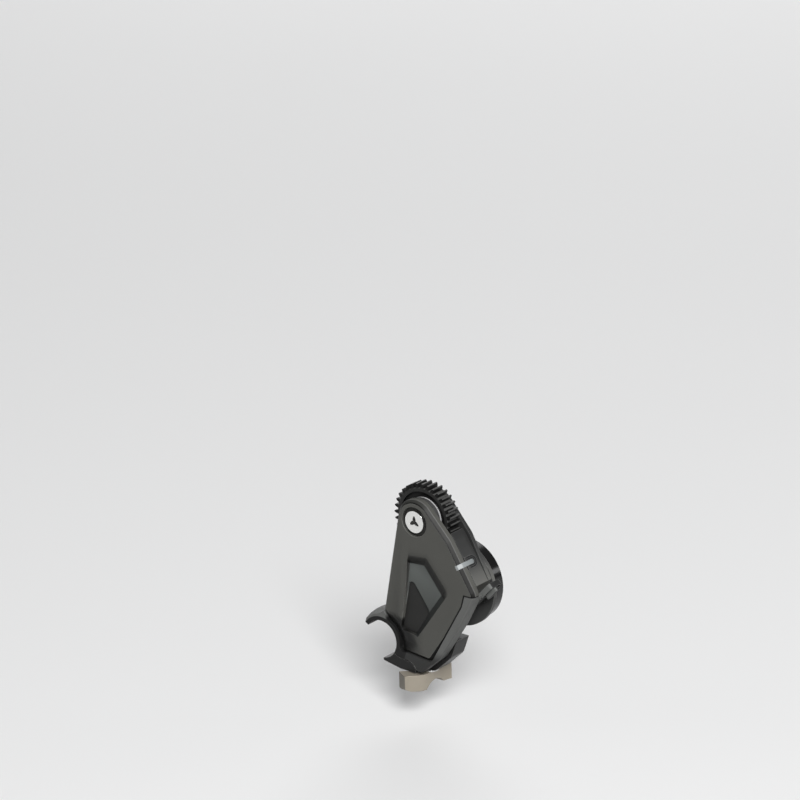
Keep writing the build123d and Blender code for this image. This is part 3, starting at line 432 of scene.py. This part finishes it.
BAR_PLACE = np.array([0.039318, COVER_FACE, 0.038377])
FLANK_OUT = np.array([0.852789, 0.0, 0.522255])
FLANK_UP = np.array([-0.522255, 0.0, 0.852789])
INWARD = np.array([0, 1, 0])
BAR_HALF, BAR_END, BAR_CURB = 0.0009, 0.0082, 0.0048
RIDGE_REACH = (0.00125, 0.00195)
RIDGE_WIDTH, RIDGE_HEIGHT, RIDGE_FOOT = 0.00042, 0.00016, 0.00034


def hoop(name, reach):
    """A U round the bar's rear end, swept: straight legs joined by half a circle of the given reach.
    Its section is half an ellipse, as wide and as high as a ridge, out from the flank."""
    bend = np.linspace(-np.pi / 2, np.pi / 2, 25)
    centre = BAR_END - BAR_HALF
    leg = np.linspace(BAR_CURB, centre, 6)[:-1]
    along = np.concatenate([np.full(5, -reach), reach * np.sin(bend), np.full(5, reach)])
    deep = np.concatenate([leg, centre + reach * np.cos(bend), leg[::-1]])
    path = np.stack([along, deep], 1)
    way = np.gradient(path, axis=0)
    sideways = np.stack([-way[:, 1], way[:, 0]], 1) / np.linalg.norm(way, axis=1)[:, None]
    turn = np.linspace(0, np.pi, 9)
    flat = path[:, None] + sideways[:, None] * (RIDGE_WIDTH / 2 * np.cos(turn))[None, :, None]
    out = np.broadcast_to(RIDGE_FOOT + RIDGE_HEIGHT * np.sin(turn), flat.shape[:2])
    points = BAR_PLACE + flat[..., :1] * FLANK_UP + flat[..., 1:] * INWARD + out[..., None] * FLANK_OUT
    rows, columns = flat.shape[:2]
    corner = (np.arange(rows - 1)[:, None] * columns + np.arange(columns - 1)).ravel()
    quads = np.stack([corner, corner + 1, corner + columns + 1, corner + columns], 1)
    mesh = bpy.data.meshes.new(name)
    mesh.from_pydata(points.reshape(-1, 3).tolist(), [], quads.tolist())
    mesh.shade_smooth()
    piece = bpy.data.objects.new(name, mesh)
    bpy.context.collection.objects.link(piece)
    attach(piece, "housing")
    return piece


pad = Finish("pad_rubber", (0.012, 0.012, 0.013), 0.45, specular=0.3)
pad.set(Roughness=pad.noise(500.0, 3.0) * 0.2 + 0.35, Normal=pad.bumped(pad.noise(6000.0), 0.15, 0.00002))
for number, reach in enumerate(RIDGE_REACH):
    hoop(f"pad_ridge_{number}", reach).data.materials.append(pad.material)

# ------------------------------------------------------------------ clamp frame
# Milled from the same stock as the cover. Painted shade makes it black round the rod's saddle and below,
# and a painted highlight line runs round the jaw's seat.
SADDLE_BLACK, HOOK_BLACK = 9.2, 12.6
LIT_LINE_CENTRE, LIT_LINE_REACH = (12.9, -10.2), 4.45

softened("clamp_frame", 0.0002)
clamp = anodised("charcoal_frame", (0.165, 0.168, 0.162), (0.20, 0.20, 0.195))
from_rod = clamp.reach(ROD_AXIS)
# painted shade, near black, round the rod's hook and saddle and below
hook = from_rod.ramp(HOOK_BLACK, HOOK_BLACK - 0.167) * clamp.mm("X").ramp(2.2, 3.2)
below = clamp.mm("Z").ramp(1.2, -2.8) * 0.8
saddle = from_rod.ramp(SADDLE_BLACK, SADDLE_BLACK - 0.2)
# painted highlight line round the jaw's seat
lit_line = clamp.reach(LIT_LINE_CENTRE).ramp(LIT_LINE_REACH, LIT_LINE_REACH - 0.1) * clamp.mm("X").ramp(12.5, 13.0)
clamp.set(Base_Color=clamp.painted(clamp.shade, (hook.most(below).most(saddle), 0.012),
                                   (lit_line, (0.30, 0.30, 0.29))),
          Normal=blasted(clamp, clamp.soft_edges(0.0002)))
dress(clamp, "clamp_frame")

# ------------------------------------------------------------------ jaw
# Sliding jaw of the same alloy, a shade blacker and a little glossier, rubbed bright at its edges, which
# also paints a highlight line along them. The clamp screw pulls it up along two pins.
softened("jaw", 0.0003)
jaw = anodised("black_jaw", (0.016, 0.016, 0.016), (0.30, 0.30, 0.29), 0.38, 0.0003)
jaw.set(Base_Color=jaw.shade, Normal=blasted(jaw, jaw.soft_edges(0.0003)))
dress(jaw, "jaw")

# ------------------------------------------------------------------ housings and motor base
# Cast and milled shells behind the cover, black anodised. Painted light pales the flank below the light
# bar, and the colour is darker towards the top, by the gear.
shell = anodised("black_housing", (0.066, 0.067, 0.066), (0.32, 0.32, 0.31), 0.42, 0.00025)
height = shell.mm("Z")
# painted light: a paler patch on the flank
lit_flank = height.ramp(38.0, 30.9) * height.ramp(22.0, 25.3) * (shell.facing("X") > 0.4)
shell.set(Base_Color=shell.painted(shell.shade, (lit_flank, (0.150, 0.150, 0.140)),
                                   (height.ramp(34.0, 44.0) * 0.6, 0.020)),
          Normal=blasted(shell, shell.soft_edges(0.00025)))
dress(shell, "main_housing", "rear_housing", "motor_base")

# ------------------------------------------------------------------ motor can
# Deep spun cap over the motor, under gloss black paint with the faint orange peel that paint dries to.
# The peel is broad noise as bump, and the gloss drifts a little.
can = Finish("gloss_black", (0.010, 0.010, 0.010), 0.14, specular=0.35)
can.set(Roughness=can.noise(60.0, 3.0) * 0.08 + 0.10,
        Base_Color=can.mix(can.noise(120.0), 0.008, 0.013),
        Normal=can.bumped(can.noise(900.0), 0.04, 0.00004, can.soft_edges(0.0002)))
dress(can, "rear_can")

# ------------------------------------------------------------------ drive gear
# Moulded acetal, satin black, paler on the lands of its teeth and down at their roots, partly as polish
# from its mate and partly as painted sheen. The reaches are millimetres from its axis.
LAND_REACH, ROOT_REACH = 13.35, (10.45, 12.0)
acetal = Finish("black_acetal", (0.018, 0.018, 0.019), 0.38, specular=0.12)
from_axis = acetal.reach(GEAR_AXIS)
edge_on = acetal.facing("Y").ramp(-0.5, -0.333)
lit_land = from_axis.ramp(LAND_REACH, LAND_REACH + 0.083)
root = from_axis.ramp(ROOT_REACH[0], ROOT_REACH[0] + 0.083)
root = root * from_axis.ramp(ROOT_REACH[1], ROOT_REACH[1] - 0.125)
# polish and painted sheen on the lands and roots
polish_and_sheen = ((lit_land + root) * edge_on + root * (1.0 - edge_on) * 0.3).clamp()
acetal.set(Base_Color=acetal.mix(polish_and_sheen, 0.010, (0.085, 0.085, 0.083)),
           Roughness=acetal.noise(300.0, 3.0) * 0.2 + 0.28,
           Normal=acetal.bumped(acetal.noise(4000.0), 0.1, 0.00002, acetal.soft_edges(0.00015)))
dress(acetal, "drive_gear")

# ------------------------------------------------------------------ idler and pinion
# Cut from brass bar, mottled by oil. The motor's pinion drives the fine wheel, and the small gear on
# the same axle drives the gear outside.
brass = Finish("cut_brass", (0.70, 0.55, 0.28), 0.3, 1.0)
brass.set(Roughness=brass.noise(500.0, 3.0) * 0.2 + 0.2,
          Base_Color=brass.mix(brass.noise(200.0), (0.62, 0.47, 0.22), (0.74, 0.58, 0.31)))
dress(brass, "idler_gear", "idler_wheel", "pinion")


# ------------------------------------------------------------------ axle screw
# Broad head of bright turned steel, sunk in its seat at the gear's axis. The floor of its three-lobed
# drive is black.
def rings(finish, about, letters="XZ"):
    """The fine grooves of turning as bump: a sine of the distance from the turning axis."""
    wave = (finish.reach(about, letters) * 26.0 + finish.noise(1500.0) * 4.0).sine()
    return finish.bumped(wave, 0.05, 0.00001, finish.soft_edges(0.00015))


LOBE_REACH = 3.6
screw = Finish("bright_screw", (0.86, 0.86, 0.84), 0.3, 1.0)
lobes = screw.depth().ramp(0.12, 0.203) * screw.reach(GEAR_AXIS).ramp(LOBE_REACH, LOBE_REACH - 0.125)
screw.set(Base_Color=screw.mix(lobes, (0.84, 0.84, 0.82), (0.03, 0.03, 0.028)),
          Metallic=1.0 - lobes, Roughness=lobes * 0.4 + 0.28, Normal=rings(screw, GEAR_AXIS))
dress(screw, "axle_screw")

# ------------------------------------------------------------------ bearings
# Ground rings with a dull grey face. Only the rear edge of the outer ring, where it leaves the gear, is
# bright.
bearing = Finish("bearing_steel", (0.80, 0.80, 0.80), 0.4, 0.25)
bearing.set(Base_Color=bearing.mix(bearing.depth().ramp(5.7, 5.95), 0.10, 0.80),
            Roughness=bearing.noise(800.0, 3.0) * 0.2 + 0.3, Normal=rings(bearing, GEAR_AXIS))
dress(bearing, "bearing_outer", "bearing_inner", "bearing_shield")


# ------------------------------------------------------------------ axles, pins and small screws
# Turned steel, plain on the axles and the clamp's stud and blackened on the case screws and the flap's
# pin. The motor's bush is sintered bronze.
def turned(name, color, about, roughness, letters="XZ"):
    """Slow noise varies tone and gloss over the grooves of turning."""
    finish = Finish(name, color, roughness, 1.0)
    return finish.set(Roughness=finish.noise(800.0, 3.0) * 0.2 + (roughness - 0.1),
                      Base_Color=finish.mix(finish.noise(250.0, 3.0), [c * 0.9 for c in color],
                                            [c * 1.08 for c in color]),
                      Normal=rings(finish, about, letters))


MOTOR_AXIS, STUD_AXIS = (28.0, 25.2), (17.4, 0.3)
dress(turned("axle_steel", (0.5, 0.5, 0.5), GEAR_AXIS, 0.35), "gear_axle", "idler_axle", "motor_shaft")
dress(turned("stud_steel", (0.60, 0.60, 0.59), STUD_AXIS, 0.3, "XY"),
      "clamp_screw", "lever_washer", "guide_pins")
dress(turned("blackened_steel", (0.07, 0.07, 0.07), GEAR_AXIS, 0.42), "case_screws", "flap_pin")
dress(turned("sintered_bronze", (0.55, 0.36, 0.20), MOTOR_AXIS, 0.5), "motor_bush")

# ------------------------------------------------------------------ flap
# Moulded black rubber, hinged on a pin in the flank's recess. It has a dry bloom and paler worn edges,
# and its narrow front faces are painted grey as light falling on them.
rubber = Finish("black_rubber", (0.026, 0.026, 0.027), 0.6, specular=0.2)
bloom = rubber.noise(400.0, 5.0, 0.6)
# painted light on the narrow front faces
lit_fronts = rubber.facing("Y").ramp(-0.5, -0.667) * (rubber.mm("Y") < 0.5)
dust_and_light = (bloom * 0.2 + rubber.worn(0.0003) * 1.5 + lit_fronts * 0.9).clamp()
rubber.set(Base_Color=rubber.mix(dust_and_light, 0.012, (0.180, 0.186, 0.178)),
           Roughness=bloom * 0.2 + 0.5,
           Normal=rubber.bumped(rubber.noise(5000.0, 3.0), 0.3, 0.00003, rubber.soft_edges(0.0003)))
dress(rubber, "port_flap")

# ------------------------------------------------------------------ port and motor bell
# The port's shell and the motor's bell are drawn from bright steel sheet. Only the gloss varies, where
# the sheet slid over the die.
sheet = Finish("folded_steel", (0.5, 0.5, 0.51), 0.3, 1.0)
sheet.set(Roughness=sheet.noise(900.0, 3.0) * 0.25 + 0.2)
dress(sheet, "port_socket", "rotor_bell")

# ------------------------------------------------------------------ tongue and chips
# The port's tongue and the boards' chips are black moulding compound with a fine eroded grain, which
# is noise as bump.
compound = Finish("black_compound", (0.025, 0.025, 0.025), 0.5)
compound.set(Normal=compound.bumped(compound.noise(5000.0), 0.2, 0.00002))
dress(compound, "port_tongue", "board_chips")

# ------------------------------------------------------------------ boards
# Glass laminate under green lacquer, which looks paler where copper lies below. The control board lies
# in the housing, and a narrow one stands behind the light bar.
lacquer = Finish("green_lacquer", (0.03, 0.15, 0.07), 0.35)
lacquer.set(Base_Color=lacquer.mix(lacquer.noise(900.0) > 0.55, (0.025, 0.13, 0.06), (0.06, 0.22, 0.11)))
dress(lacquer, "control_board", "led_board")

# ------------------------------------------------------------------ stator
# A stack of 0.2 mm steel laminations and coils of 0.3 mm enamelled copper wire. Both pitches are a sine
# of the depth as bump.
PLATE_PITCH, WIRE_PITCH = 0.2, 0.3
plates = Finish("laminations", (0.2, 0.2, 0.21), 0.45, 0.9)
plates.set(Normal=plates.bumped((plates.mm("Y") * (2 * np.pi / PLATE_PITCH)).sine(), 0.3, 0.00003))
dress(plates, "stator_core")
wire = Finish("enamelled_wire", (0.55, 0.24, 0.10), 0.3, 0.8)
wire.set(Normal=wire.bumped((wire.mm("Y") * (2 * np.pi / WIRE_PITCH)).sine(), 0.5, 0.00005))
dress(wire, "stator_coils")

# ------------------------------------------------------------------ wing lever
# Cast aluminium, blasted and anodised champagne, its corners well rounded for the thumb and its far end
# painted darker as shade.
softened("wing_lever", 0.0007, segments=4)
champagne = Finish("champagne", (0.40, 0.355, 0.29), 0.45, 0.3)
sheen = champagne.noise(250.0, 4.0)
# painted shade on the far end
shaded_far_end = champagne.facing("X").ramp(-0.18, -0.64)
champagne.set(Base_Color=champagne.painted(
    champagne.mix(sheen, (0.375, 0.335, 0.272), (0.425, 0.38, 0.31)), (shaded_far_end, (0.055, 0.047, 0.030))),
    Roughness=sheen * 0.2 + 0.36,
    Normal=champagne.bumped(champagne.noise(5000.0), 0.2, 0.00003))
dress(champagne, "wing_lever")

low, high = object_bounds()
